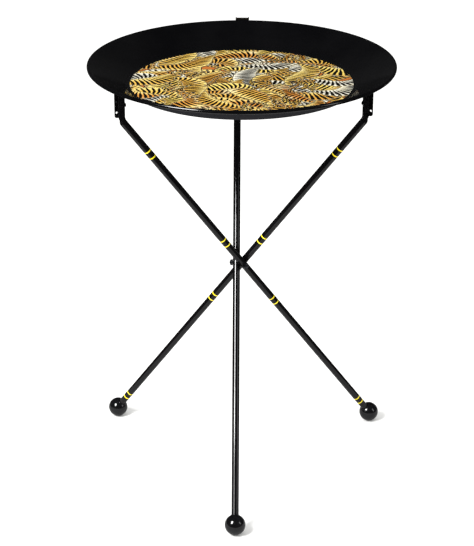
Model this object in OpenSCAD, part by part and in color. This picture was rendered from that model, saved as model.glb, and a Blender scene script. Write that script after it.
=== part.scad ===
// Round tray table: a pressed steel tray on a folding tripod of three crossed tubes.
// Millimetres. Z is up, the floor is Z = 0, and the origin is under the middle of the whole box.

/* [Tray] */
// Diameter of the tray over its rolled bead
tray_d = 450; // [380:5:540]
// Height of the top of the bead above the floor
tray_h = 650; // [540:5:780]
// Depth from the top of the bead down to the flat floor
dish_depth = 31; // [24:1:38]
// Width of the wall, from the flat floor out to the edge of the bead
wall_w = 60; // [50:1:70]
// Radius of the pressed corner between floor and wall
corner_r = 8; // [4:1:14]
// Thickness of the steel sheet
sheet_t = 1.2; // [0.8:0.1:1.5]
// Diameter of the rolled bead round the rim
bead_d = 5.6; // [4.8:0.2:7]

/* [Printed panel] */
// Margin of plain floor left round the printed panel
panel_margin = 2; // [1:0.5:8]
// Thickness of the print and its lacquer
panel_t = 0.3; // [0.2:0.1:0.8]

/* [Hanging tab] */
// Width of the tab behind the rim
tab_w = 21; // [14:1:30]
// Height of the tab above the bead
tab_rise = 4; // [3:0.5:8]
// Thickness of the tab
tab_t = 1.2; // [0.8:0.1:2]

/* [Legs] */
// Radius of the circle on which the ball feet stand
foot_r = 240; // [190:1:290]
// How far the bends sit inside the edge of the tray
bend_inset = 25.5; // [20:0.5:34]
// Length of the upright above each bend
upright_h = 40; // [34:1:48]
// Outside diameter of the leg tube
tube_d = 11; // [9:0.5:13]
// Wall of the leg tube
tube_wall = 1.2; // [0.8:0.1:1.6]
// Centre line radius of the bend
bend_radius = 16; // [12:1:20]

/* [Ball feet] */
// Diameter of a ball foot
ball_d = 31; // [26:0.5:40]
// How deep the tube goes into the ball
socket_depth = 8.5; // [6:0.5:10]
// Diameter of the stud that holds the ball
stud_d = 5; // [4:0.5:6]

/* [Hub] */
// Diameter of each arm of the star pin
arm_d = 5; // [4:0.5:5]
// Outside diameter of the pivot bushes
bush_d = 7; // [6.5:0.5:7.5]
// Gap between neighbouring tubes at the hub when the stand is open
tube_gap = 0.6; // [0.4:0.1:2]
// Width across flats of the cap nuts
nut_af = 8; // [7:0.5:10]

/* [Rim brackets] */
// Width of the bracket's back plate
web_w = 15; // [13:0.5:18]
// Depth of the channel from its back to its edges
channel_depth = 6.5; // [6.5:0.5:9]
// Thickness of the bracket sheet
bracket_t = 1.5; // [1:0.1:1.6]
// Diameter of the cross hole through both flanges
pin_hole_d = 3.4; // [2.5:0.1:3.5]
// Height of the cross hole above the foot of the bracket
pin_hole_z = 8; // [5:0.5:12]
// Height of the rivet above the foot of the bracket
rivet_z = 20; // [17:0.5:24]
// Diameter of the rivet
rivet_d = 3.8; // [3:0.1:4.5]

/* [Clearances] */
// Gap between the tray and the tops of the brackets
rest_gap = 0.3; // [0.2:0.1:0.6]
// Running clearance of a bush on its arm, on the radius
run_fit = 0.05; // [0.02:0.01:0.09]
// Clearance of a fixed piece in its hole, on the radius
set_fit = 0.05; // [0.02:0.01:0.1]

/* [Hidden] */
$fn = 96;

// Each leg is named after its foot and turned to the side on which that foot stands.
front_side = 270;
right_side = 30;
left_side = 150;

tray_r = tray_d / 2;
bead_r = bead_d / 2;
tube_r = tube_d / 2;
ball_r = ball_d / 2;
floor_r = tray_r - wall_w;
floor_z = tray_h - dish_depth;
bead_at = [tray_r - bead_r, tray_h - bead_r];

// The straight wall touches the corner arc below and the bead above.
corner_at = [floor_r, floor_z + corner_r];
wall_span = bead_at - corner_at;
wall_angle = atan2(wall_span[1], wall_span[0]) + asin((corner_r + bead_r) / norm(wall_span));
wall_top = bead_at + bead_r * [-sin(wall_angle), cos(wall_angle)];
function under_wall(r) = wall_top[1] + (r - wall_top[0]) * tan(wall_angle) - sheet_t / cos(wall_angle);

// A leg runs from its foot ball, across the hub, to the bend under the far side of the tray.
bend_r = tray_r - bend_inset;
bend_z = under_wall(bend_r) - upright_h;
lean = atan2(foot_r + bend_r, bend_z - ball_r);
hub_z = ball_r + foot_r / tan(lean);
hub_along = foot_r / sin(lean);
bend_along = (foot_r + bend_r) / sin(lean);
bend_back = bend_radius * tan(lean / 2);
bend_swell = 0.2;
bend_lap = 1;
tube_from = ball_r - socket_depth;

// Each tube passes beside the middle of the hub, just far enough to clear its neighbours.
hub_offset = (tube_d + tube_gap) * sqrt(4 - 3 * pow(sin(lean), 2)) / (2 * sqrt(3) * cos(lean));

web_r = bend_r + 0.5;
bracket_z = bend_z + 2;
bracket_corner = 3;
channel_r = web_r + channel_depth;
pin_hole_r = web_r + bracket_t + pin_hole_d / 2 + 0.3;
upright_top = under_wall(bend_r - tube_r) - 2 * rest_gap;

// The inner ends of the three bushes stay clear of each other.
bush_from = bush_d / 2 / tan(60) + 0.3;

washer_t = 0.8;
washer_d = bush_d + 2.4;
nut_h = 2.8;
nut_dome_h = 1.4;
washer_at = hub_offset + tube_r + 0.15;
nut_at = washer_at + washer_t;
arm_len = nut_at + nut_h;

tab_r = tray_r + 0.1;
tab_angle = 2 * asin(tab_w / 2 / tab_r);
tab_foot_r = bead_at[0] - bead_r - 9;

// The origin stays under the middle of the whole box.
half_left = max(tray_r, foot_r * cos(30) - hub_offset / 2 + ball_r);
half_right = max(tray_r, foot_r * cos(30) + hub_offset / 2 + ball_r);
half_front = max(tray_r, foot_r + ball_r);
half_back = max(tab_r + tab_t, foot_r * sin(30) + hub_offset * cos(30) + ball_r);
middle = [(half_left - half_right) / 2, (half_front - half_back) / 2, 0];

// Puts a piece drawn round the tray's axis into the frame.
module placed() {
    translate(middle) children();
}

// Puts a piece drawn in a leg's own plane, foot at +X and tray end at -X, into the frame.
module on_leg(side) {
    placed() rotate([0, 0, side]) translate([0, -hub_offset, 0]) children();
}

// Stands a piece on the centre line of a leg, at a distance from the middle of its ball.
module along_leg(distance) {
    translate([foot_r, 0, ball_r]) rotate([0, -lean, 0]) translate([0, 0, distance]) children();
}

// Lays a piece along an arm of the star pin, at a distance from the middle of the hub.
module on_arm(side, distance) {
    placed() rotate([0, 0, side]) translate([0, -distance, hub_z]) rotate([90, 0, 0]) children();
}

// A bent rod: straight from the foot, round the bend and straight up. The bend is a touch fatter,
// as a bent tube is, and takes in the ends of the straight parts.
module bent_rod(d, from, top) {
    along_leg(from) cylinder(d = d, h = bend_along - bend_back - from + bend_lap);
    translate([bend_radius - bend_r, 0, bend_z + bend_back]) rotate([90, 0, 0]) rotate([0, 0, 180])
        rotate_extrude(angle = lean) translate([bend_radius, 0]) circle(d = d + bend_swell);
    translate([-bend_r, 0, bend_z + bend_back - bend_lap])
        cylinder(d = d, h = top - bend_z - bend_back + bend_lap);
}

module tray_dish() {
    steps = 8;
    upper = [for (i = [0 : steps]) let (a = wall_angle * i / steps)
        corner_at + corner_r * [sin(a), -cos(a)]];
    lower = [for (i = [steps : -1 : 0]) let (a = wall_angle * i / steps)
        corner_at + (corner_r + sheet_t) * [sin(a), -cos(a)]];
    wall_foot = wall_top + sheet_t * [sin(wall_angle), -cos(wall_angle)];
    curl = bead_at + (bead_r - sheet_t / 2) * [-sin(wall_angle - 40), cos(wall_angle - 40)];
    outline = concat([[0, floor_z]], upper, [wall_top, curl, bead_at, wall_foot], lower,
        [[0, floor_z - sheet_t]]);
    color("#15161a") placed() difference() {
        union() {
            rotate_extrude() polygon(outline);
            rotate_extrude() translate(bead_at) circle(r = bead_r);
        }
        rotate_extrude() translate(bead_at) circle(r = bead_r - sheet_t);
    }
}

module rim_wire() {
    color("silver") placed() rotate_extrude()
        translate(bead_at) circle(r = bead_r - sheet_t - set_fit);
}

module printed_panel() {
    color("#d9a55a") placed() translate([0, 0, floor_z])
        cylinder(r = floor_r - panel_margin, h = panel_t);
}

module hanging_tab() {
    horn_w = 1.4;
    horn_h = 0.9;
    foot = [tab_foot_r, under_wall(tab_foot_r)];
    knee_r = bead_at[0] - bead_r - 1;
    knee = [knee_r, under_wall(knee_r)];
    below = [bead_at[0] - bead_r / 2, bead_at[1] - bead_r - 0.2];
    outline = [foot, knee, below, [tab_r, below[1]], [tab_r, tray_h + tab_rise],
        [tab_r + tab_t, tray_h + tab_rise], [tab_r + tab_t, below[1] - tab_t],
        [below[0], below[1] - tab_t], knee - [0, 1.6 * tab_t], foot - [0, tab_t]];
    color("#15161a") placed() rotate([0, 0, 90]) difference() {
        rotate([0, 0, -tab_angle / 2]) rotate_extrude(angle = tab_angle) polygon(outline);
        translate([tab_r - 1, horn_w - tab_w / 2, tray_h + tab_rise - horn_h])
            cube([tab_t + 2, tab_w - 2 * horn_w, 2 * horn_h]);
    }
}

module star_pin() {
    color("silver") {
        for (side = [front_side, right_side, left_side]) on_arm(side, 0) cylinder(d = arm_d, h = arm_len);
        placed() translate([0, 0, hub_z]) sphere(d = arm_d);
    }
}

module washer(side) {
    color("silver") on_arm(side, washer_at) difference() {
        cylinder(d = washer_d, h = washer_t);
        translate([0, 0, -1]) cylinder(d = arm_d + 4 * run_fit, h = washer_t + 2);
    }
}

module cap_nut(side) {
    dome_d = nut_af - 0.4;
    dome_r = (pow(dome_d / 2, 2) + pow(nut_dome_h, 2)) / (2 * nut_dome_h);
    color("silver") on_arm(side, nut_at) difference() {
        union() {
            cylinder(d = nut_af / cos(30), h = nut_h, $fn = 6);
            intersection() {
                translate([0, 0, nut_h + nut_dome_h - dome_r]) sphere(r = dome_r);
                translate([0, 0, nut_h / 2]) cylinder(d = dome_d, h = nut_h);
            }
        }
        translate([0, 0, -1]) cylinder(d = arm_d + 2 * set_fit, h = nut_h + 1.2);
    }
}

module tube(side) {
    color("#101114") on_leg(side) difference() {
        bent_rod(tube_d, tube_from, upright_top);
        bent_rod(tube_d - 2 * tube_wall, tube_from - 1, upright_top + 1);
        along_leg(hub_along) rotate([90, 0, 0]) cylinder(d = bush_d, h = tube_d + 2, center = true);
        translate([-web_r - tube_d, -tube_d, bracket_z]) cube([tube_d, 2 * tube_d, 2 * upright_h]);
        translate([-bend_r, 0, bracket_z + rivet_z]) rotate([0, 90, 0])
            cylinder(d = rivet_d + 2 * set_fit, h = tube_d);
    }
}

module bush(side) {
    color("#c8b27a") on_arm(side, bush_from) difference() {
        cylinder(d = bush_d, h = hub_offset + tube_r - bush_from);
        translate([0, 0, -1]) cylinder(d = arm_d + 2 * run_fit, h = 2 * tube_d);
    }
}

module plug(side) {
    plug_len = 14;
    stud_end = -ball_r / 3;
    color("silver") on_leg(side) {
        along_leg(tube_from) cylinder(d = tube_d - 2 * tube_wall - 2 * set_fit, h = plug_len);
        along_leg(stud_end) cylinder(d = stud_d, h = tube_from - stud_end + 1);
    }
}

module ball(side) {
    stud_end = -ball_r / 3 - 0.5;
    color("#0c0d10") on_leg(side) difference() {
        translate([foot_r, 0, ball_r]) sphere(r = ball_r);
        along_leg(tube_from) cylinder(d = tube_d + 2 * set_fit, h = ball_d);
        along_leg(stud_end) cylinder(d = stud_d + 2 * set_fit, h = tube_from - stud_end + 1);
    }
}

module bracket(side) {
    steps = 6;
    rounded = [for (i = [0 : steps]) let (a = 90 * i / steps)
        [-channel_r + bracket_corner * (1 - cos(a)), bracket_z + bracket_corner * (1 - sin(a))]];
    outline = concat(rounded, [[-web_r, bracket_z], [-web_r, under_wall(web_r) - rest_gap],
        [-channel_r, under_wall(channel_r) - rest_gap]]);
    color("#101114") on_leg(side) difference() {
        rotate([90, 0, 0]) linear_extrude(web_w, center = true) polygon(outline);
        translate([-channel_r - 1, bracket_t - web_w / 2, bracket_z - 1])
            cube([channel_depth + 1 - bracket_t, web_w - 2 * bracket_t, 2 * upright_h]);
        translate([-pin_hole_r, 0, bracket_z + pin_hole_z]) rotate([90, 0, 0])
            cylinder(d = pin_hole_d, h = web_w + 2, center = true);
        translate([-web_r - bracket_t - 1, 0, bracket_z + rivet_z]) rotate([0, 90, 0])
            cylinder(d = rivet_d + 2 * set_fit, h = bracket_t + 2);
    }
}

module rivet(side) {
    head_d = 1.8 * rivet_d;
    head_h = 1.6;
    dome_r = (pow(head_d / 2, 2) + pow(head_h, 2)) / (2 * head_h);
    head_at = web_r + bracket_t;
    tail_at = bend_r - tube_r;
    color("#3a3b40") on_leg(side) translate([-head_at, 0, bracket_z + rivet_z]) rotate([0, 90, 0]) {
        cylinder(d = rivet_d, h = head_at - tail_at);
        translate([0, 0, head_at - tail_at]) cylinder(d = head_d - 1, h = 1.2);
        intersection() {
            translate([0, 0, dome_r - head_h]) sphere(r = dome_r);
            translate([0, 0, -head_h]) cylinder(d = head_d + 1, h = head_h);
        }
    }
}

tray_dish();
rim_wire();
printed_panel();
hanging_tab();
star_pin();
washer(front_side);  // washer_front
washer(right_side);  // washer_right
washer(left_side);  // washer_left
cap_nut(front_side);  // cap_nut_front
cap_nut(right_side);  // cap_nut_right
cap_nut(left_side);  // cap_nut_left
tube(front_side);  // tube_front
tube(right_side);  // tube_right
tube(left_side);  // tube_left
bush(front_side);  // bush_front
bush(right_side);  // bush_right
bush(left_side);  // bush_left
plug(front_side);  // plug_front
plug(right_side);  // plug_right
plug(left_side);  // plug_left
ball(front_side);  // ball_front
ball(right_side);  // ball_right
ball(left_side);  // ball_left
bracket(front_side);  // bracket_front
bracket(right_side);  // bracket_right
bracket(left_side);  // bracket_left
rivet(front_side);  // rivet_front
rivet(right_side);  // rivet_right
rivet(left_side);  // rivet_left
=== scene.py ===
import math
from types import SimpleNamespace

import bpy
import numpy as np
from mathutils import Matrix, Quaternion, Vector


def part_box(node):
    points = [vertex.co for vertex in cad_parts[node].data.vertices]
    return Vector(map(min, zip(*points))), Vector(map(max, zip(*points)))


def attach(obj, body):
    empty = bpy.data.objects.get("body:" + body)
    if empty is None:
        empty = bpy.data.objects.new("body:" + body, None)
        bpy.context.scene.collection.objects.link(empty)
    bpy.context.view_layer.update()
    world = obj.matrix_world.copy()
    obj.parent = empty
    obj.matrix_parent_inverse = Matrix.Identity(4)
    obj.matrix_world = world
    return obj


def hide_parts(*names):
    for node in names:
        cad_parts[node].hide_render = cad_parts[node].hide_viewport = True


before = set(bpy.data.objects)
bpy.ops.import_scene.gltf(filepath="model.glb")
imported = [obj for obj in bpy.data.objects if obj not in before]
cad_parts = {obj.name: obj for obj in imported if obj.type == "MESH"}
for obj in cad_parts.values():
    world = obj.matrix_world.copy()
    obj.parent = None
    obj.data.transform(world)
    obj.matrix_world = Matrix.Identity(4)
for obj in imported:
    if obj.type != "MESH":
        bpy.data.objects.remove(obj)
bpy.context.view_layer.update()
mm = 0.001    # shapes are worked out in millimetres and become metres in the meshes


# sRGB hex to linear light, channel by channel, by the standard curve
def toLinear(hexColour):
    parts = [int(hexColour[i:i + 2], 16) / 255 for i in (1, 3, 5)]
    return [p / 12.92 if p <= 0.04045 else ((p + 0.055) / 1.055) ** 2.4 for p in parts] + [1.0]


# lowest corner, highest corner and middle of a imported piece, in mm
def boxOf(node):
    low, high = (np.array(corner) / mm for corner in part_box(node))
    return low, high, (low + high) / 2


# 0 below low, 1 above high, and three t squared less two t cubed between them
def smoothStep(low, high, value):
    t = np.clip((value - low) / (high - low), 0, 1)
    return t * t * (3 - 2 * t)


# A closed skin over rows of points. Row i, column j is joined to row i+1 and column j+1, the columns run
# right round, and the first and last rows each fan in to their own middle. The sum of the signed
# volumes from the origin to each face says which way the skin faces, and it is turned to face outwards.
def ringSkin(name, rows, attributes=None):
    rows = np.asarray(rows, float)
    count, columns, _ = rows.shape
    points = np.vstack([rows.reshape(-1, 3), rows[0].mean(0), rows[-1].mean(0)])
    column = np.arange(columns)
    after = (column + 1) % columns
    i, j = np.meshgrid(np.arange(count - 1), column, indexing="ij")
    k = (j + 1) % columns
    quads = np.stack([i * columns + j, i * columns + k, (i + 1) * columns + k, (i + 1) * columns + j], -1)
    quads = quads.reshape(-1, 4)
    lastRow = (count - 1) * columns
    firstFan = np.stack([np.full(columns, count * columns), after, column], -1)
    lastFan = np.stack([np.full(columns, count * columns + 1), lastRow + column, lastRow + after], -1)
    fans = np.vstack([firstFan, lastFan])
    p, f = points[quads], points[fans]
    volume = np.einsum("ij,ij->", p[:, 0], np.cross(p[:, 1], p[:, 2]) + np.cross(p[:, 2], p[:, 3]))
    volume += np.einsum("ij,ij->", f[:, 0], np.cross(f[:, 1], f[:, 2]))
    if volume < 0:
        quads, fans = quads[:, ::-1], fans[:, ::-1]
    mesh = bpy.data.meshes.new(name)
    mesh.from_pydata((points * mm).tolist(), [], quads.tolist() + fans.tolist())
    for key, values in (attributes or {}).items():
        values = np.asarray(values, float)
        values = np.concatenate([values.reshape(-1), [values[0].mean(), values[-1].mean()]])
        layer = mesh.attributes.new(key, "FLOAT", "POINT")
        layer.data.foreach_set("value", values)
    mesh.shade_smooth()
    piece = bpy.data.objects.new(name, mesh)
    bpy.context.collection.objects.link(piece)
    return piece


# A half profile of (radius, height) turned about the vertical through the middle of the tray: the point
# is middle + radius * (cosine, sine) of the angle, at the profile's height.
def lathe(name, profile, columns, attributes=None):
    profile = np.asarray(profile, float)
    angle = np.linspace(0, 2 * np.pi, columns, endpoint=False)
    radius = profile[:, 0][:, None]
    rows = np.stack([centre[0] + radius * np.cos(angle), centre[1] + radius * np.sin(angle),
                     np.repeat(profile[:, 1][:, None], columns, 1)], -1)
    return ringSkin(name, rows, attributes)


trayLow, trayHigh, trayMid = boxOf("tray_dish")
panelLow, panelHigh, _ = boxOf("printed_panel")
trayRadius = (trayHigh[0] - trayLow[0]) / 2
centre = np.array([trayMid[0], trayMid[1], 0.0])

tray = {
    "beadDiameter": 5.6,   # the edge rolled over its wire
    "sheet": 1.2,          # thickness of the steel
    "wallWidth": 60.0,     # from the edge in to where the floor starts
    "cornerRadius": 8.0,   # between floor and wall
    "firstRing": 4,        # radius where the rows start, closed by a fan
    "columns": 360,
}


# The tray's section, once round: under the floor, up under the wall, round the bead, down over the wall
# and in over the floor. The wall is the straight line that leaves the corner's arc and meets the bead's
# at a tangent, so its slope is that of the line between their middles plus the arcsine of the two radii
# over the distance between them.
def trayProfile():
    bead = tray["beadDiameter"] / 2
    sheet = tray["sheet"]
    corner = tray["cornerRadius"]
    first = tray["firstRing"]
    floorRadius = trayRadius - tray["wallWidth"]
    floorHeight = panelLow[2]
    beadMid = np.array([trayRadius - bead, trayHigh[2] - bead])
    cornerMid = np.array([floorRadius, floorHeight + corner])
    apart = beadMid - cornerMid
    slope = math.atan2(apart[1], apart[0]) + math.asin((corner + bead) / np.hypot(*apart))
    along = np.array([math.cos(slope), math.sin(slope)])      # up the wall
    below = np.array([math.sin(slope), -math.cos(slope)])     # square to it, out of the tray

    def arc(mid, radius, start, end, steps):
        # angles run from straight down, turning outwards
        a = np.linspace(start, end, steps)
        return np.stack([mid[0] + radius * np.sin(a), mid[1] - radius * np.cos(a)], -1)

    underFloor = np.stack([np.linspace(first, floorRadius - 6, 14), np.full(14, floorHeight - sheet)], -1)
    underCorner = arc(cornerMid, corner + sheet, 0, slope, 10)
    wallFoot = underCorner[-1]
    wallTop = beadMid - bead * below
    # the crease is where the underside of the wall runs into the roll
    reach = np.dot(wallTop + sheet * below - wallFoot, along)
    crease = wallFoot + along * (reach - math.sqrt(bead ** 2 - (bead - sheet) ** 2))
    underWall = wallFoot + (crease - wallFoot) * np.linspace(0.08, 1, 12)[:, None]
    creaseAngle = math.atan2(crease[0] - beadMid[0], beadMid[1] - crease[1])
    roll = arc(beadMid, bead, creaseAngle + 0.05, math.pi + slope, 30)
    overWall = wallTop + (cornerMid + corner * below - wallTop) * np.linspace(0.06, 1, 14)[:, None]
    overCorner = arc(cornerMid, corner, slope, 0, 12)[1:]
    overFloor = np.stack([np.linspace(floorRadius - 3, first, 10), np.full(10, floorHeight)], -1)
    return np.vstack([underFloor, underCorner, underWall, roll, overWall, overCorner, overFloor])


trayShell = lathe("trayShell", trayProfile(), tray["columns"])
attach(trayShell, "tray")
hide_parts("tray_dish")
print("tray shell made")


pelt = {
    "seed": 41,
    "spacing": 34.0,        # mm between the starts of neighbouring bodies
    "rowShare": 0.87,       # a row's distance from the next, as a share of the spacing
    "margin": 14,           # mm past the edge where bodies may still start
    "jitter": 7,            # mm that a start may be moved
    "length": (84, 140),
    "halfWidth": (12.0, 20.0),
    "tails": 22,
    "tailSpread": 0.8,      # share of the radius within which tails start
    "tailLength": (46, 84),
    "tailHalfWidth": (2.6, 3.8),
    "curl": (0.5, 1.1),     # radians that a body bends either way; a tail bends twice as far
    "spinePoints": 60,
    "paleShare": 0.17,      # share of the bodies that are cream
    "phaseStep": 137.0,     # mm, so that neighbours' stripes never line up
    "rings": 150,
    "columns": 600,
}


# Draws the bodies of the print, lowest first. Starts lie on a staggered grid in a shuffled order, with
# the tails on top. A spine's heading is a slow flow over the panel plus a start angle and a sine, its
# points are the running sum of the heading's cosine and sine, and its width is a power of a half sine.
def drawBodies(radius):
    random = np.random.default_rng(pelt["seed"])
    step = pelt["spacing"]
    grid = np.arange(-radius - step, radius + step, step)
    starts = np.array([(gx + (step / 2 if row % 2 else 0), gy * pelt["rowShare"])
                       for row, gy in enumerate(grid) for gx in grid])
    starts = starts[np.hypot(starts[:, 0], starts[:, 1]) < radius + pelt["margin"]]
    starts = starts[random.permutation(len(starts))]
    places = [(start, False) for start in starts]
    places += [(random.uniform(-radius, radius, 2) * pelt["tailSpread"], True)
               for _ in range(pelt["tails"])]
    s = np.linspace(0, 1, pelt["spinePoints"])
    bodies = []
    for start, isTail in places:
        length = random.uniform(*pelt["tailLength" if isTail else "length"])
        half = random.uniform(*pelt["tailHalfWidth" if isTail else "halfWidth"])
        start = start + random.uniform(-pelt["jitter"], pelt["jitter"], 2)
        # neighbours lie roughly alike: the flow swings about a radian over some 140 mm of the panel
        flow = 1.1 * math.sin(start[0] / 46 + 0.4) + 0.9 * math.cos(start[1] / 38)
        flow += random.uniform(-0.9, 0.9)
        curl = random.uniform(*pelt["curl"]) * (2.0 if isTail else 1.0) * random.choice([-1, 1])
        heading = flow + curl * np.sin(2 * np.pi * s * random.uniform(0.45, 0.9) + random.uniform(0, 2))
        stride = length / (len(s) - 1)
        sx = start[0] + np.concatenate([[0], np.cumsum(np.cos(heading[:-1]))]) * stride
        sy = start[1] + np.concatenate([[0], np.cumsum(np.sin(heading[:-1]))]) * stride
        tone = random.uniform(0, 1)
        isPale = random.uniform() < pelt["paleShare"]
        fullness = 0.22 if isTail else 0.5    # a tail keeps its width nearly to its tip
        bodies.append({
            "x": sx - sx.mean() + start[0],
            "y": sy - sy.mean() + start[1],
            "heading": heading,
            "stride": stride,
            "width": half * (np.sin(np.pi * np.clip(s, 0.04, 0.97)) ** fullness),
            "reach": length / 2 + half + 10,
            "tone": tone,
            "pale": 2.0 if isTail else float(isPale),    # 0 gold, 1 cream, 2 a tail
        })
    return bodies


# What the print shows at each point: the last body that covers it, how far along and across that body it
# lies, and how far in from the edge. Along is the spine's length to the nearest spine point plus the
# distance ahead of it; across is the distance aside over the body's half width there.
def peltMap(x, y, radius):
    along, across, edge = np.zeros_like(x), np.full_like(x, 0.5), np.zeros_like(x)
    tone, pale = np.full_like(x, 0.5), np.zeros_like(x)
    last = pelt["spinePoints"] - 1
    for number, body in enumerate(drawBodies(radius)):
        near = np.hypot(x - body["x"].mean(), y - body["y"].mean()) < body["reach"]
        chosen = np.nonzero(near)[0]
        if len(chosen) == 0:
            continue
        dx = x[chosen][:, None] - body["x"][None, :]
        dy = y[chosen][:, None] - body["y"][None, :]
        nearest = np.argmin(dx * dx + dy * dy, 1)
        pick = np.arange(len(chosen))
        c, n = np.cos(body["heading"][nearest]), np.sin(body["heading"][nearest])
        ahead = dx[pick, nearest] * c + dy[pick, nearest] * n
        aside = -dx[pick, nearest] * n + dy[pick, nearest] * c
        atEnd = (nearest == 0) | (nearest == last)    # the ends are round
        room = body["width"][nearest] - np.hypot(aside, np.where(atEnd, ahead, 0))
        inside = room > 0
        hit = chosen[inside]
        along[hit] = nearest[inside] * body["stride"] + ahead[inside] + pelt["phaseStep"] * number
        across[hit] = aside[inside] / body["width"][nearest][inside]
        edge[hit] = room[inside]
        tone[hit] = body["tone"]
        pale[hit] = body["pale"]
    return {"along": along, "across": across, "edge": edge, "tone": tone, "pale": pale}


# A thin disc turned from its section, fine enough on top to carry the print's values at its points.
def makePanel():
    radius = (panelHigh[0] - panelLow[0]) / 2
    top, bottom = panelHigh[2], panelLow[2] + 0.01
    ringAt = np.linspace(0.6, radius - 0.12, pelt["rings"])
    profile = np.vstack([np.stack([ringAt, np.full(len(ringAt), top)], -1),
                         [[radius, top - 0.1], [radius, bottom], [radius * 0.5, bottom]]])
    angle = np.linspace(0, 2 * np.pi, pelt["columns"], endpoint=False)
    x = profile[:, 0][:, None] * np.cos(angle)
    y = profile[:, 0][:, None] * np.sin(angle)
    values = peltMap(x.reshape(-1), y.reshape(-1), radius)
    values = {key: value.reshape(x.shape) for key, value in values.items()}
    return lathe("printedPanel", profile, pelt["columns"], values)


printedPanel = makePanel()
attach(printedPanel, "tray")
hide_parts("printed_panel")
print("printed panel made")


legTurns = {"front": 270, "right": 30, "left": 150}    # each leg is named after its foot

leg = {
    "tubeRadius": 5.5,
    "tubeWall": 1.2,
    "tubeLip": 0.25,       # rounding of the tube's open end
    "pipeDepth": 9,        # how far the open end is hollow
    "bendInset": 25.5,     # from the tray's edge in to the bend
    "bendRadius": 16.0,
    "bracketLift": 2.0,    # from the bend's level up to the foot of the bracket
    "plateOut": 0.5,       # from the tube's axis out to the plate of the bracket
    "plateGap": 0.02,
    "flattening": 7.0,     # length over which the round tube turns into its flat back
    "socketDepth": 8.5,    # how far the tube goes into the ball
    "stationStep": 6.0,
    "columns": 40,
}

ringPaint = {
    "places": (31, 42, 303, 315, 446, 458, 650, 662.5),   # mm up the leg from the middle of the ball
    "legs": ("right", "left"),
    "yellows": ((0.3, "#f0d41c"), (0.7, "#fff04a")),
    "ragged": 170,         # noise cells a metre: the brush's edge wanders every 6 mm or so
    "edge": (1.22, 1.08),  # mm from the line's middle, noise included, where yellow starts and is full
}


# Where a leg stands: unit vectors out to its foot and sideways, the ball, and how far out and how high
# the foot and the bend are. The lean is the arctangent of the run from foot to bend over the rise.
def legFrame(side):
    turn = math.radians(legTurns[side])
    out = np.array([math.cos(turn), math.sin(turn), 0])
    aside = np.array([-math.sin(turn), math.cos(turn), 0])
    _, ballHigh, ballMid = boxOf("ball_" + side)
    ballRadius = ballHigh[2] / 2
    bracketFoot = boxOf("bracket_" + side)[0][2]
    footOut = np.dot(ballMid - centre, out)
    bendOut = trayRadius - leg["bendInset"]
    bendHeight = bracketFoot - leg["bracketLift"]
    lean = math.atan2(footOut + bendOut, bendHeight - ballRadius)
    return SimpleNamespace(out=out, aside=aside, ballMid=ballMid, ballRadius=ballRadius, footOut=footOut,
                           bracketFoot=bracketFoot, bendOut=bendOut, bendHeight=bendHeight, lean=lean)


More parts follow.
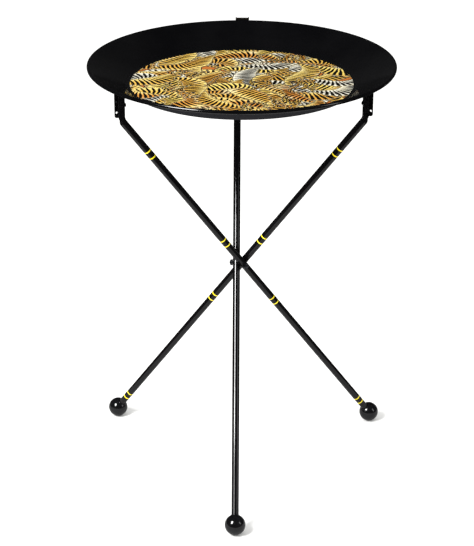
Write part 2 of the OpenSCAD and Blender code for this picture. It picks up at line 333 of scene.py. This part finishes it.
# A tube carried along its path: straight from the ball, round the bend, straight up, over the lip and
# down inside. Across each station the point is the path's point plus the radius times (cosine of the
# angle along the normal, sine of the angle sideways). Behind the bracket's plate the outer side is
# pressed flat: a point that stands past the plate is drawn back to it, by a smooth step of its height.
def makeTube(side):
    at = legFrame(side)
    sideways = np.dot(at.ballMid - centre, at.aside)
    top = boxOf("tube_" + side)[1][2]
    radius, bendRadius, lip = leg["tubeRadius"], leg["bendRadius"], leg["tubeLip"]
    back = bendRadius * math.tan(at.lean / 2)    # length that the bend takes from each straight
    straight = (at.footOut + at.bendOut) / math.sin(at.lean) - back
    start = at.ballRadius - leg["socketDepth"]

    stations = list(np.arange(start + 0.6, straight, leg["stationStep"]))
    for place in ringPaint["places"]:
        stations += [place + d for d in (-3, -1, 0, 1, 3)]    # closer rows where a line is painted
    stations = np.array(sorted(s for s in stations if start < s < straight))
    stations = stations[np.concatenate([[True], np.diff(stations) > 0.3])]
    lower = np.stack([at.footOut - stations * math.sin(at.lean),
                      at.ballRadius + stations * math.cos(at.lean)], -1)
    turn = np.linspace(at.lean, 0, 13)
    bend = np.stack([bendRadius - at.bendOut - bendRadius * np.cos(turn),
                     at.bendHeight + back - bendRadius * np.sin(turn)], -1)
    rise = np.concatenate([np.arange(at.bendHeight + back + 1, top - 1, 1.5), [top - lip]])
    upright = np.stack([np.full(len(rise), -at.bendOut), rise], -1)
    inner = radius - leg["tubeWall"]
    mouth = np.array([(top, radius - lip), (top, inner + lip), (top - lip, inner),
                      (top - leg["pipeDepth"], inner)])
    inside = np.stack([np.full(len(mouth), -at.bendOut), mouth[:, 0]], -1)
    path = np.vstack([lower, bend, upright, inside])
    tilt = np.concatenate([np.full(len(lower), at.lean), turn, np.zeros(len(rise) + len(mouth))])[:, None]
    sizes = np.concatenate([np.full(len(path) - len(mouth), radius), mouth[:, 1]])[:, None]

    angle = np.linspace(0, 2 * np.pi, leg["columns"], endpoint=False)
    # out, up and sideways of every point, then the flat behind the plate
    acrossOut = path[:, 0][:, None] + sizes * np.cos(angle) * np.cos(tilt)
    height = path[:, 1][:, None] + sizes * np.cos(angle) * np.sin(tilt)
    acrossSide = sideways + sizes * np.sin(angle)
    plate = -(at.bendOut + leg["plateOut"]) + leg["plateGap"]
    wall = np.where(sizes < radius - 0.3, leg["tubeWall"], 0)
    share = smoothStep(at.bracketFoot - leg["flattening"], at.bracketFoot - 0.5, path[:, 1])[:, None]
    acrossOut = acrossOut + share * (np.maximum(acrossOut, plate + wall) - acrossOut)
    rows = (centre + acrossOut[..., None] * at.out + acrossSide[..., None] * at.aside
            + height[..., None] * np.array([0, 0, 1]))

    # each point's distance from the nearest painted line; 50 mm or more where there is none
    fromBall = np.concatenate([stations, np.full(len(path) - len(stations), straight + 50)])
    gap = np.min(np.abs(fromBall[:, None] - np.array(ringPaint["places"])[None, :]), 1)
    if side not in ringPaint["legs"]:
        gap[:] = 50
    tube = ringSkin("legTube_" + side, rows, {"fromRing": np.repeat(gap[:, None], len(angle), 1)})
    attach(tube, "leg_" + side)
    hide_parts("tube_" + side)
    return tube


ballFoot = {
    "lip": 0.7,            # width of the moulded lip round the tube's socket
    "parting": 0.12,       # height of the moulding line
    "partingWidth": 0.35,
    "socketRadius": 5.6,
    "columns": 72,
}


# A ball turned about its leg: radius times (sine, minus cosine) of an angle from the far pole up to the
# socket, with a narrow bell curve added at the equator for the moulding line, then a half-round lip.
def makeBall(side):
    at = legFrame(side)
    radius, lip, socket = at.ballRadius, ballFoot["lip"], ballFoot["socketRadius"]
    axis = -at.out * math.sin(at.lean) + np.array([0, 0, math.cos(at.lean)])
    first = np.cross(at.aside, axis)
    mouth = math.asin((leg["tubeRadius"] + lip + 0.15) / radius)
    a = np.linspace(0.02, math.pi - mouth, 46)
    reach, level = radius * np.sin(a), -radius * np.cos(a)
    seam = ballFoot["parting"] * np.exp(-(level / ballFoot["partingWidth"]) ** 2)
    reach = reach + seam - ballFoot["parting"]
    lipReach, lipLevel = socket + 0.02 + lip / 2, radius * math.cos(mouth) - 0.1
    b = np.linspace(0.3, math.pi, 8)
    reach = np.concatenate([reach, lipReach + lip / 2 * np.cos(b), [socket, socket]])
    level = np.concatenate([level, lipLevel + lip * 0.7 * np.sin(b), [lipLevel - 1.5, lipLevel - 4]])
    angle = np.linspace(0, 2 * np.pi, ballFoot["columns"], endpoint=False)
    rows = (at.ballMid + level[:, None, None] * axis + (reach[:, None] * np.cos(angle))[..., None] * first
            + (reach[:, None] * np.sin(angle))[..., None] * at.aside)
    ball = ringSkin("ballFoot_" + side, rows)
    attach(ball, "leg_" + side)
    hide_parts("ball_" + side)
    return ball


tubes = {side: makeTube(side) for side in legTurns}
balls = {side: makeBall(side) for side in legTurns}
print("legs and ball feet made")


# Fills a node's sockets, by name or number: another node's output is linked, a plain value is set.
def feed(tree, node, inputs):
    for key, value in inputs.items():
        if isinstance(value, bpy.types.NodeSocket):
            tree.links.new(value, node.inputs[key])
        else:
            node.inputs[key].default_value = value


# Adds one node with its settings and links, and hands back the output that give names. The stops of a
# ramp are pairs of place and colour.
def addNode(tree, kind, inputs, give=0, stops=(), **settings):
    node = tree.nodes.new("ShaderNode" + kind)
    for key, value in settings.items():
        setattr(node, key, value)
    feed(tree, node, inputs)
    if stops:
        elements = node.color_ramp.elements
        while len(elements) < len(stops):
            elements.new(0.5)
        for element, (place, colour) in zip(elements, stops):
            element.position = place
            element.color = toLinear(colour)
    return node.outputs[give]


def newMaterial(name):
    material = bpy.data.materials.new(name)
    material.use_nodes = True
    return material, material.node_tree, material.node_tree.nodes["Principled BSDF"]


def dress(node, material):
    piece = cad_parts[node]
    piece.data.materials.clear()
    piece.data.materials.append(material)


noiseSpan = {"From Min": 0.3, "From Max": 0.7}    # where nearly all of a noise's values lie


# A finish from its dictionary. One noise shades the colour and the roughness, and another raises the
# skin where the finish has one. A noise's scale is its cells a metre, so 1000 over the size in mm.
def makeFinish(name, finish):
    material, tree, shader = newMaterial(name)
    place = addNode(tree, "TexCoord", {}, give="Object")
    cloud = addNode(tree, "TexNoise", {"Vector": place, **finish["cloud"]})
    low, high = finish["roughness"]
    shade = addNode(tree, "ValToRGB", {"Fac": cloud}, stops=finish["shades"])
    rough = addNode(tree, "MapRange", {"Value": cloud, **noiseSpan, "To Min": low, "To Max": high})
    feed(tree, shader, {"Base Color": shade, "Roughness": rough, **finish["shader"]})
    if "skin" in finish:
        skin = addNode(tree, "TexNoise", {"Vector": place, **finish["skin"]})
        feed(tree, shader, {"Normal": addNode(tree, "Bump", {"Height": skin, **finish["bump"]})})
    return material


# Stoving enamel sprayed on pressed steel: deep gloss black, a faint orange-peel skin, settled dust.
trayEnamel = {
    "shades": ((0.35, "#030304"), (0.7, "#070708")),
    "roughness": (0.10, 0.17),
    "cloud": {"Scale": 14, "Detail": 4},      # dust in patches of about 70 mm
    "skin": {"Scale": 260, "Detail": 2},      # orange peel about 4 mm from bump to bump
    "bump": {"Strength": 0.05, "Distance": 0.0004},
    "shader": {"IOR": 1.5},
}

# One thin coat of matt primer on the back: its filler stands up dry, so it gives no clear reflection.
trayPrimer = {
    "shades": ((0.3, "#1d1d1f"), (0.7, "#252528")),
    "roughness": (0.6, 0.8),
    "cloud": {"Scale": 340, "Detail": 4},     # spray texture of 3 mm, coarser than real so that it shows
    "skin": {"Scale": 340, "Detail": 4},
    "bump": {"Strength": 0.2, "Distance": 0.0003},
    "shader": {"Specular IOR Level": 0.0},
}

# Stoving enamel on drawn steel tube and on the folded brackets: the same gloss with a tighter skin.
tubeEnamel = {
    "shades": ((0.35, "#060506"), (0.7, "#0b0a0b")),
    "roughness": (0.07, 0.11),
    "cloud": {"Scale": 30, "Detail": 3},      # patches of about 33 mm
    "skin": {"Scale": 420, "Detail": 2},      # orange peel of 2.4 mm
    "bump": {"Strength": 0.05, "Distance": 0.0003},
    "shader": {"IOR": 1.5},
}

# Phenolic moulded in a polished tool: glassy, with the faintest flow marks about 11 mm long.
ballPhenolic = {
    "shades": ((0.35, "#070708"), (0.7, "#0f0f11")),
    "roughness": (0.08, 0.16),
    "cloud": {"Scale": 90, "Detail": 4, "Distortion": 1.2},
    "shader": {"IOR": 1.55},
}

# Acetal turned from bar: the same black, duller and greasier, marked every 17 mm.
bushAcetal = {
    "shades": ballPhenolic["shades"],
    "roughness": (0.3, 0.42),
    "cloud": {"Scale": 60, "Detail": 4, "Distortion": 1.2},
    "shader": {"IOR": 1.55},
}

# Free-cutting steel turned bright: fine marks, drawn at 1.7 mm because real ones are too fine to show.
turnedSteel = {
    "shades": ((0.3, "#a9abad"), (0.7, "#c6c8ca")),
    "roughness": (0.22, 0.36),
    "cloud": {"Scale": 600, "Detail": 3},
    "shader": {"Metallic": 1.0},
}

# Black oxide on the same steel, wiped with oil: dark grey with a soft shine.
oxideSteel = {
    "shades": ((0.3, "#3a3b3e"), (0.7, "#5a5c60")),
    "roughness": (0.25, 0.4),
    "cloud": {"Scale": 600, "Detail": 3},
    "shader": {"Metallic": 1.0},
}


# Thin yellow lines painted by hand over the enamel. Half of a noise is added to the distance from the
# line, and where the sum is under the edge the yellow covers the black.
def paintLines(material):
    tree, shader = material.node_tree, material.node_tree.nodes["Principled BSDF"]
    place = addNode(tree, "TexCoord", {}, give="Object")
    wobble = addNode(tree, "TexNoise", {"Vector": place, "Scale": ringPaint["ragged"], "Detail": 2})
    gap = addNode(tree, "Attribute", {}, give="Fac", attribute_name="fromRing")
    shifted = addNode(tree, "Math", {0: wobble, 1: 0.5, 2: gap}, operation="MULTIPLY_ADD")
    clear, full = ringPaint["edge"]
    line = addNode(tree, "MapRange", {"Value": shifted, "From Min": clear, "From Max": full})
    yellow = addNode(tree, "ValToRGB", {"Fac": wobble}, stops=ringPaint["yellows"])
    black = shader.inputs["Base Color"].links[0].from_socket
    colour = addNode(tree, "Mix", {0: line, 6: black, 7: yellow}, give=2, data_type="RGBA")
    feed(tree, shader, {"Base Color": colour})


printInks = {
    "golds": ((0.0, "#cc9438"), (0.28, "#e2b84e"), (0.5, "#ca7e2e"), (0.72, "#e8ce66"), (1.0, "#d6a640")),
    "paleFlank": "#e6d27e",
    "darkFlank": "#b5722f",
    "creamBack": "#a9aba0",
    "creamFlank": "#e9e8d6",
    "hair": "#8a5a26",
    "faded": "#dcd2a8",
    "stripe": "#0a0705",
    "halo": "#ead9a0",
    "outline": "#170e07",
    "gap": "#a8622a",      # deep orange-brown between the bodies
    "stripePitch": 7.0,    # mm from stripe to stripe along a body
}


# Offset print on primed steel under clear lacquer: striped pelts in gold, orange, cream and black ink.
# Stripes are a sine along the body, swept back towards the flanks, and show where the sine is over a
# limit that rises away from the spine, so that each one thins to a point.
def peltPrint():
    material, tree, shader = newMaterial("offsetPrintUnderClearLacquer")
    place = addNode(tree, "TexCoord", {}, give="Object")
    along, across, edge, tone, pale = (
        addNode(tree, "Attribute", {}, give="Fac", attribute_name=key)
        for key in ("along", "across", "edge", "tone", "pale"))
    fromSpine = addNode(tree, "Math", {0: across}, operation="ABSOLUTE")
    wobble = addNode(tree, "TexNoise", {"Vector": place, "Scale": 120, "Detail": 2})    # 8 mm
    broad = addNode(tree, "TexNoise", {"Vector": place, "Scale": 26, "Detail": 3})      # 38 mm

    # hair is a noise drawn out along the body: streaks 2 mm long, coarser than real so that they show
    hairAlong = addNode(tree, "Math", {0: along, 1: 0.35}, operation="MULTIPLY")
    hairAcross = addNode(tree, "Math", {0: across, 1: 9.0}, operation="MULTIPLY")
    hairPlace = addNode(tree, "CombineXYZ", {0: hairAlong, 1: hairAcross, 2: tone})
    hair = addNode(tree, "TexNoise", {"Vector": hairPlace, "Scale": 1.6, "Detail": 3})

    ragged = addNode(tree, "Math", {0: wobble, 1: 2.6}, operation="MULTIPLY")
    swept = addNode(tree, "Math", {0: fromSpine, 1: 1.6, 2: ragged}, operation="MULTIPLY_ADD")
    swept = addNode(tree, "Math", {0: across, 1: 2.6, 2: swept}, operation="MULTIPLY_ADD")
    turns = 2 * math.pi / printInks["stripePitch"]
    phase = addNode(tree, "Math", {0: along, 1: turns, 2: swept}, operation="MULTIPLY_ADD")
    wave = addNode(tree, "Math", {0: phase}, operation="SINE")
    offSpine = addNode(tree, "Math", {0: across, 1: 0.2}, operation="ADD")
    offSpine = addNode(tree, "Math", {0: offSpine}, operation="ABSOLUTE")
    limit = addNode(tree, "Math", {0: offSpine, 1: 2.2}, operation="POWER")
    limit = addNode(tree, "Math", {0: limit, 1: 1.1, 2: -0.5}, operation="MULTIPLY_ADD")
    uneven = addNode(tree, "Math", {0: broad, 1: 1.1, 2: -0.55}, operation="MULTIPLY_ADD")
    limit = addNode(tree, "Math", {0: limit, 1: uneven}, operation="ADD")
    over = addNode(tree, "Math", {0: wave, 1: limit}, operation="SUBTRACT")

    # how far each ink covers: a smooth step of one value from start to end, up to its strength
    share = {}
    for key, value, start, end, strength in (
            ("paleFlank", across, 0.0, 0.85, 0.8), ("darkFlank", across, -0.35, -0.9, 0.45),
            ("creamFlank", fromSpine, 0.1, 0.8, 1.0), ("isCream", pale, 0.4, 0.6, 1.0),
            ("isTail", pale, 1.4, 1.6, 1.0), ("hair", hair, 0.42, 0.66, 0.45),
            ("faded", broad, 0.56, 0.72, 0.6), ("stripe", over, -0.12, 0.14, 1.0),
            ("halo", edge, 2.2, 1.5, 0.7), ("outline", edge, 1.6, 1.1, 1.0),
            ("gap", edge, 0.02, 0.0, 1.0)):
        share[key] = addNode(tree, "MapRange", {"Value": value, "From Min": start, "From Max": end,
                                                "To Max": strength}, interpolation_type="SMOOTHSTEP")
    notTail = addNode(tree, "Math", {0: 1.0, 1: share["isTail"]}, operation="SUBTRACT")
    for key in ("isCream", "halo"):
        share[key] = addNode(tree, "Math", {0: share[key], 1: notTail}, operation="MULTIPLY")
    cream = addNode(tree, "Mix", {0: share["creamFlank"], 6: toLinear(printInks["creamBack"]),
                                  7: toLinear(printInks["creamFlank"])}, give=2, data_type="RGBA")

    # the inks go on one over the other
    colour = addNode(tree, "ValToRGB", {"Fac": tone}, stops=printInks["golds"])
    for key in ("paleFlank", "darkFlank", "isCream", "hair", "faded", "stripe", "halo", "outline", "gap"):
        ink = cream if key == "isCream" else toLinear(printInks[key])
        colour = addNode(tree, "Mix", {0: share[key], 6: colour, 7: ink}, give=2, data_type="RGBA")

    # the dots of the screen, drawn at 1.4 mm because real ones are too fine to show
    dot = addNode(tree, "TexNoise", {"Vector": place, "Scale": 700, "Detail": 2})
    rough = addNode(tree, "MapRange", {"Value": wobble, **noiseSpan, "To Min": 0.3, "To Max": 0.42},
                    interpolation_type="SMOOTHSTEP")
    feed(tree, shader, {
        "Base Color": colour,
        "Roughness": rough,
        "Normal": addNode(tree, "Bump", {"Height": dot, "Strength": 0.08, "Distance": 0.0002}),
        "Specular IOR Level": 0.1,
        "Coat Weight": 0.4,
        "Coat Roughness": 0.08})
    return material


# The tray takes enamel, and primer on the faces of its back, from the middle out to the crease: those
# that look down and lie inside the bead.
def dressTray(enamel, primer):
    mesh = trayShell.data
    mesh.materials.append(enamel)
    mesh.materials.append(primer)
    facing = np.zeros(len(mesh.polygons) * 3)
    middle = np.zeros_like(facing)
    mesh.polygons.foreach_get("normal", facing)
    mesh.polygons.foreach_get("center", middle)
    facing, middle = facing.reshape(-1, 3), middle.reshape(-1, 3)
    fromAxis = np.hypot(*(middle[:, :2] - centre[:2] * mm).T)
    isBack = (facing[:, 2] < -0.3) & (fromAxis < (trayRadius - tray["beadDiameter"] * 0.85) * mm)
    mesh.polygons.foreach_set("material_index", isBack.astype(np.int32))


trayBlack = makeFinish("stovedBlackEnamelOnPressedSteel", trayEnamel)
tubeBlack = makeFinish("stovedBlackEnamelOnSteelTube", tubeEnamel)
paintLines(tubeBlack)
bracketBlack = makeFinish("stovedBlackEnamelOnFoldedSheet", tubeEnamel)
ballBlack = makeFinish("mouldedBlackPhenolic", ballPhenolic)
brightSteel = makeFinish("turnedBrightSteel", turnedSteel)
blackSteel = makeFinish("oiledBlackOxideSteel", oxideSteel)
bushBlack = makeFinish("turnedBlackAcetal", bushAcetal)

dressTray(trayBlack, makeFinish("mattBlackPrimerOnPressedSteel", trayPrimer))
printedPanel.data.materials.append(peltPrint())
for side in legTurns:
    tubes[side].data.materials.append(tubeBlack)
    balls[side].data.materials.append(ballBlack)
    dress("bracket_" + side, bracketBlack)
    dress("rivet_" + side, blackSteel)
    dress("washer_" + side, blackSteel)
    dress("cap_nut_" + side, blackSteel)
    dress("bush_" + side, bushBlack)
    dress("plug_" + side, brightSteel)
dress("star_pin", brightSteel)
dress("rim_wire", brightSteel)
dress("hanging_tab", trayBlack)
print("materials set")


# A pale floor that the gloss enamel doesn't mirror, so that the tubes keep the black edges that flags
# give them in a studio, and a grey card on it that only shows in reflections.
stage = {
    "floorColour": "#f2f2f0",
    "floorHalf": 6.0,          # metres from the middle to the edge
    "cardColour": "#959595",
    "cardHalf": 0.5,
    "ambient": 0.85,           # soft light of the room on everything
    "ambientSeen": 1.0,        # what the camera sees past the floor
    "ambientMirrored": 0.03,   # what the gloss mirrors of the room
}


def laySheet(name, colour, half, height, onlyMirrored):
    material, tree, shader = newMaterial(name + "Paper")
    feed(tree, shader, {"Base Color": toLinear(colour), "Roughness": 0.9, "Specular IOR Level": 0.1})
    mesh = bpy.data.meshes.new(name)
    mesh.from_pydata([(-half, -half, height), (half, -half, height), (half, half, height),
                      (-half, half, height)], [], [(0, 1, 2, 3)])
    mesh.materials.append(material)
    sheet = bpy.data.objects.new(name, mesh)
    sheet.visible_glossy = onlyMirrored
    sheet.visible_camera = sheet.visible_diffuse = sheet.visible_shadow = not onlyMirrored
    bpy.context.collection.objects.link(sheet)


laySheet("paleFloor", stage["floorColour"], stage["floorHalf"], 0, False)
laySheet("greyCard", stage["cardColour"], stage["cardHalf"], 0.0003, True)


# The room's strength is the ambient light, changed to its mirrored share for a reflected ray and to its
# seen share for a ray from the camera.
def makeRoom():
    world = bpy.data.worlds.new("softRoom")
    world.use_nodes = True
    tree = world.node_tree
    strength = stage["ambient"]
    for ray, target in (("Is Glossy Ray", "ambientMirrored"), ("Is Camera Ray", "ambientSeen")):
        isRay = addNode(tree, "LightPath", {}, give=ray)
        strength = addNode(tree, "Math", {0: isRay, 1: stage[target] - stage["ambient"], 2: strength},
                           operation="MULTIPLY_ADD")
    feed(tree, tree.nodes["Background"], {"Color": (1, 1, 1, 1), "Strength": strength})
    bpy.context.scene.world = world


makeRoom()

lights = {    # metres and watts; size is width and height, roll turns the lamp about its own beam
    "keyLeft": {"place": (-1.68, -1.52, 2.35), "aim": (0, 0, 0.3), "size": (0.95, 1.1), "power": 125,
                "roll": 0.45, "mirrored": True},
    "keyLow": {"place": (-1.7, -1.85, 1.6), "aim": (0, -0.2, 0.1), "size": (0.95, 0.7), "power": 20,
               "roll": 0.45, "mirrored": True},
    "fillRight": {"place": (2.6, -1.1, 1.5), "aim": (0, 0, 0.35), "size": (0.5, 1.6), "power": 9,
                  "roll": 0.0, "mirrored": True},
    "backLeft": {"place": (-2.2, 3.2, 3.0), "aim": (0, 2.2, 0), "size": (2.8, 2.0), "power": 26,
                 "roll": 0.0, "mirrored": False},
    "backRight": {"place": (2.2, 3.2, 3.0), "aim": (0, 2.2, 0), "size": (2.8, 2.0), "power": 30,
                  "roll": 0.0, "mirrored": False},
}
for name, light in lights.items():
    data = bpy.data.lights.new(name, "AREA")
    data.shape = "RECTANGLE"
    data.size, data.size_y = light["size"]
    data.energy = light["power"]
    lamp = bpy.data.objects.new(name, data)
    lamp.location = light["place"]
    beam = (Vector(light["aim"]) - Vector(light["place"])).to_track_quat("-Z", "Y")
    lamp.rotation_euler = (beam @ Quaternion((0, 0, 1), light["roll"])).to_euler()
    lamp.visible_glossy = light["mirrored"]
    bpy.context.collection.objects.link(lamp)
print("floor and lights set")


view = {
    "place": (0.00624, -2.4466, 1.4006),
    "down": 0.4155,        # radians below the horizon
    "turn": -0.0055,
    "roll": 0.002,
    "lens": 133.61,
    "sensor": 36.0,
}
cameraData = bpy.data.cameras.new("camera")
cameraData.sensor_fit = "HORIZONTAL"
cameraData.sensor_width = view["sensor"]
cameraData.lens = view["lens"]
cameraData.clip_end = 60
camera = bpy.data.objects.new("camera", cameraData)
camera.matrix_world = (Matrix.Translation(view["place"]) @ Matrix.Rotation(-view["turn"], 4, "Z")
                       @ Matrix.Rotation(math.pi / 2 - view["down"], 4, "X")
                       @ Matrix.Rotation(view["roll"], 4, "Z"))
bpy.context.collection.objects.link(camera)
bpy.context.scene.camera = camera
bpy.context.scene.view_settings.view_transform = "Standard"
bpy.context.scene.view_settings.look = "None"
print("camera set")
